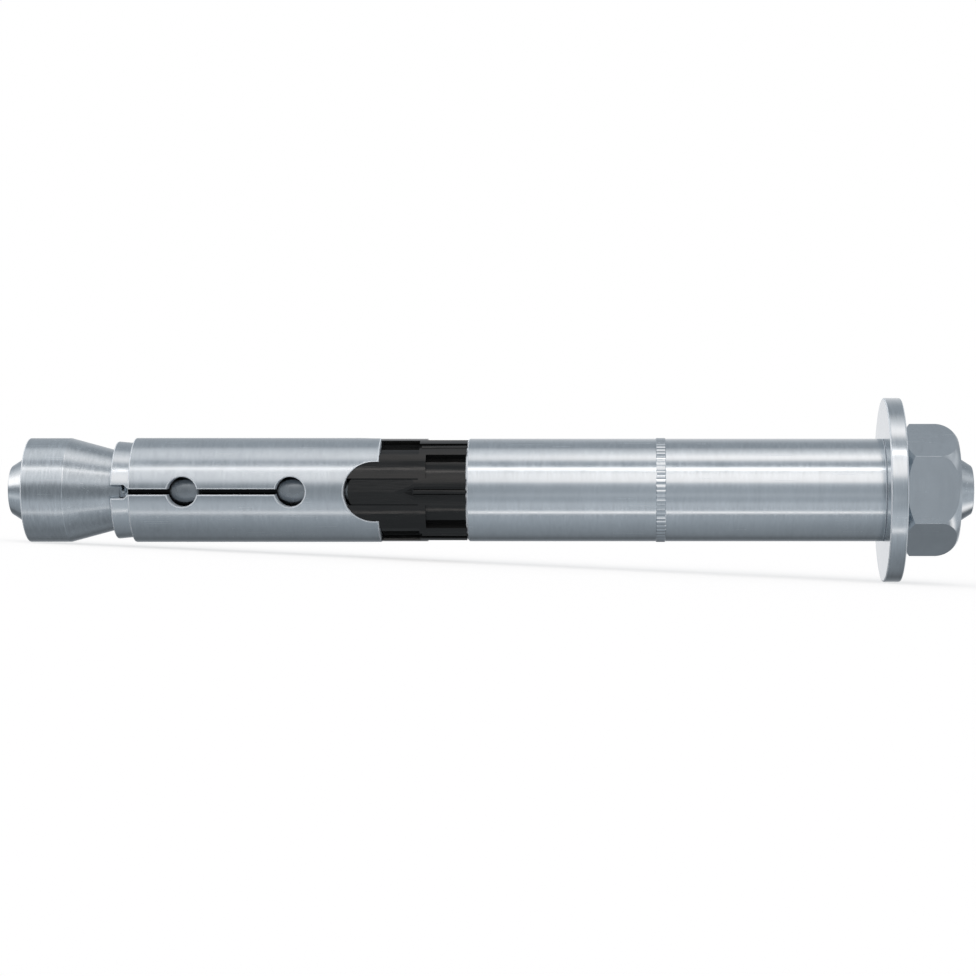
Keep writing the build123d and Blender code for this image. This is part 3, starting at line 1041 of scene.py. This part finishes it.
class ANCHOR_OT_washer(bpy.types.Operator):
    """Make the thick washer with its rounded edges"""

    bl_idname = "anchor.washer"
    bl_label = "Washer"

    def execute(self, context):
        settings = context.scene.anchor_washer
        bm = bmesh.new()
        section(bm, ((washer.start, washer.bore), (washer.start, washer.reach),
                     (washer.end, washer.reach), (washer.end, washer.bore)))
        round_corners(bm, [(x, washer.reach) for x in (washer.start, washer.end)],
                      mm(settings.edge), 4)
        round_corners(bm, [(x, washer.bore) for x in (washer.start, washer.end)],
                      mm(settings.bore_edge), 2)
        turn(bm, steps=144)
        outward(bm)
        # The rounded outer edges take the painted edge highlight
        for face in bm.faces:
            face.material_index = int(is_edge(face, washer.start, mm(settings.edge) / 2)
                                      or is_edge(face, washer.end, mm(settings.edge) / 2))
        finish_piece(bm, "washer", "washer", "plated_steel",
                     plated_steel("Plated washer steel", finish(), roughness=0.02, grain=0.6, seed=51),
                     edge_highlight_paint(finish()))
        return {"FINISHED"}


class ANCHOR_OT_nut(bpy.types.Operator):
    """Make the hexagon nut: a turned body cut by six flats, threaded inside"""

    bl_idname = "anchor.hex_nut"
    bl_label = "Hexagon nut"

    def execute(self, context):
        settings = context.scene.anchor_nut
        threads = context.scene.anchor_thread
        mouth = nut.bore + mm(threads.countersink)
        crown_start = nut.end - mm(settings.crown_length)
        crown = self.crown(settings, crown_start)
        seat = nut.reach_at(nut.start)
        seat_end = min(x for x, r in nut.points if r > nut.reach - 0.02)
        bm = bmesh.new()
        section(bm, ((nut.start, mouth), (nut.start, seat), (seat_end, nut.reach), *crown,
                     (nut.end, mouth)))
        open_section(bm, (nut.end, mouth), (nut.start, mouth))
        turn(bm)
        flats = self.cut_flats(bm, mm(settings.across_flats) / 2)
        corners = [e for e in bm.edges if len(e.link_faces) == 2
                   and all(f in flats for f in e.link_faces)]
        for face in flats:
            for edge in face.edges:
                edge.smooth = False
        for edge in corners:
            edge.smooth = True
        # The rounded corners take the painted edge highlight
        round_edges(bm, corners, mm(settings.corner), 3, EDGE)
        inside = bmesh.new()
        thread(inside, nut.start, nut.end, bolt.reach + mm(threads.play), threads,
               lambda x, r: max(r, mouth - LIP - (x - nut.start), mouth - LIP - (nut.end - x)))
        join(bm, inside)
        close_between(bm, nut.start)
        close_between(bm, nut.end)
        outward(bm)
        finish_piece(bm, "hex_nut", "nut", "plated_steel",
                     plated_steel("Plated nut steel", finish(), roughness=0.05, grain=0.15, seed=71),
                     edge_highlight_paint(finish()))
        return {"FINISHED"}

    def crown(self, settings, start):
        """The crown's arc as (x, radius) points."""
        radius = mm(settings.crown_radius)
        full = math.asin(mm(settings.crown_length) / radius)
        angles = [full * step / settings.crown_steps for step in range(settings.crown_steps + 1)]
        return [(start + radius * math.sin(a), nut.reach - radius * (1 - math.cos(a))) for a in angles]

    def cut_flats(self, bm, out):
        """Cut the six flats with planes and close each one with a face."""
        flats = []
        for side in range(6):
            way = Vector((0, -math.cos(side * math.pi / 3), math.sin(side * math.pi / 3)))
            edges = edges_of(cut(bm, way * out, way, clear_outer=True))
            bmesh.ops.contextual_create(bm, geom=edges)
        bm.normal_update()
        for face in bm.faces:
            centre = face.calc_center_median()
            if abs(math.hypot(centre.y, centre.z) - out) < 0.02 and len(face.verts) > 8:
                flats.append(face)
        return set(flats)


class ANCHOR_PT_panel(bpy.types.Panel):
    """Lists the anchor's sizes, finishes and pieces"""

    bl_idname = "ANCHOR_PT_panel"
    bl_label = "Sleeve anchor"
    bl_space_type = "VIEW_3D"
    bl_region_type = "UI"
    bl_category = "Anchor"

    def draw(self, context):
        for group in SETTINGS:
            box = self.layout.box()
            settings = getattr(context.scene, group)
            box.label(text=group.replace("_", " ").capitalize())
            for name in settings.__annotations__:
                box.prop(settings, name)
        for operator in OPERATORS:
            self.layout.operator(operator.bl_idname)


SETTINGS = {
    "anchor_thread": AnchorThread,
    "anchor_cone": AnchorCone,
    "anchor_sleeve": AnchorSleeve,
    "anchor_ring": AnchorRing,
    "anchor_spacer": AnchorSpacer,
    "anchor_washer": AnchorWasher,
    "anchor_nut": AnchorNut,
    "anchor_finish": AnchorFinish,
    "anchor_studio": AnchorStudio,
}
OPERATORS = (
    ANCHOR_OT_stage,
    ANCHOR_OT_bolt,
    ANCHOR_OT_cone,
    ANCHOR_OT_sleeve,
    ANCHOR_OT_ring,
    ANCHOR_OT_spacer,
    ANCHOR_OT_washer,
    ANCHOR_OT_nut,
)
CLASSES = (*SETTINGS.values(), *OPERATORS, ANCHOR_PT_panel)


def register():
    for made in CLASSES:
        bpy.utils.register_class(made)
    for name, group in SETTINGS.items():
        setattr(bpy.types.Scene, name, bpy.props.PointerProperty(type=group))


def unregister():
    for name in SETTINGS:
        delattr(bpy.types.Scene, name)
    for made in reversed(CLASSES):
        bpy.utils.unregister_class(made)


def main():
    register()
    bpy.context.scene.view_settings.view_transform = "Standard"
    for operator in OPERATORS:
        group, name = operator.bl_idname.split(".")
        getattr(getattr(bpy.ops, group), name)()


if __name__ == "__main__":
    main()
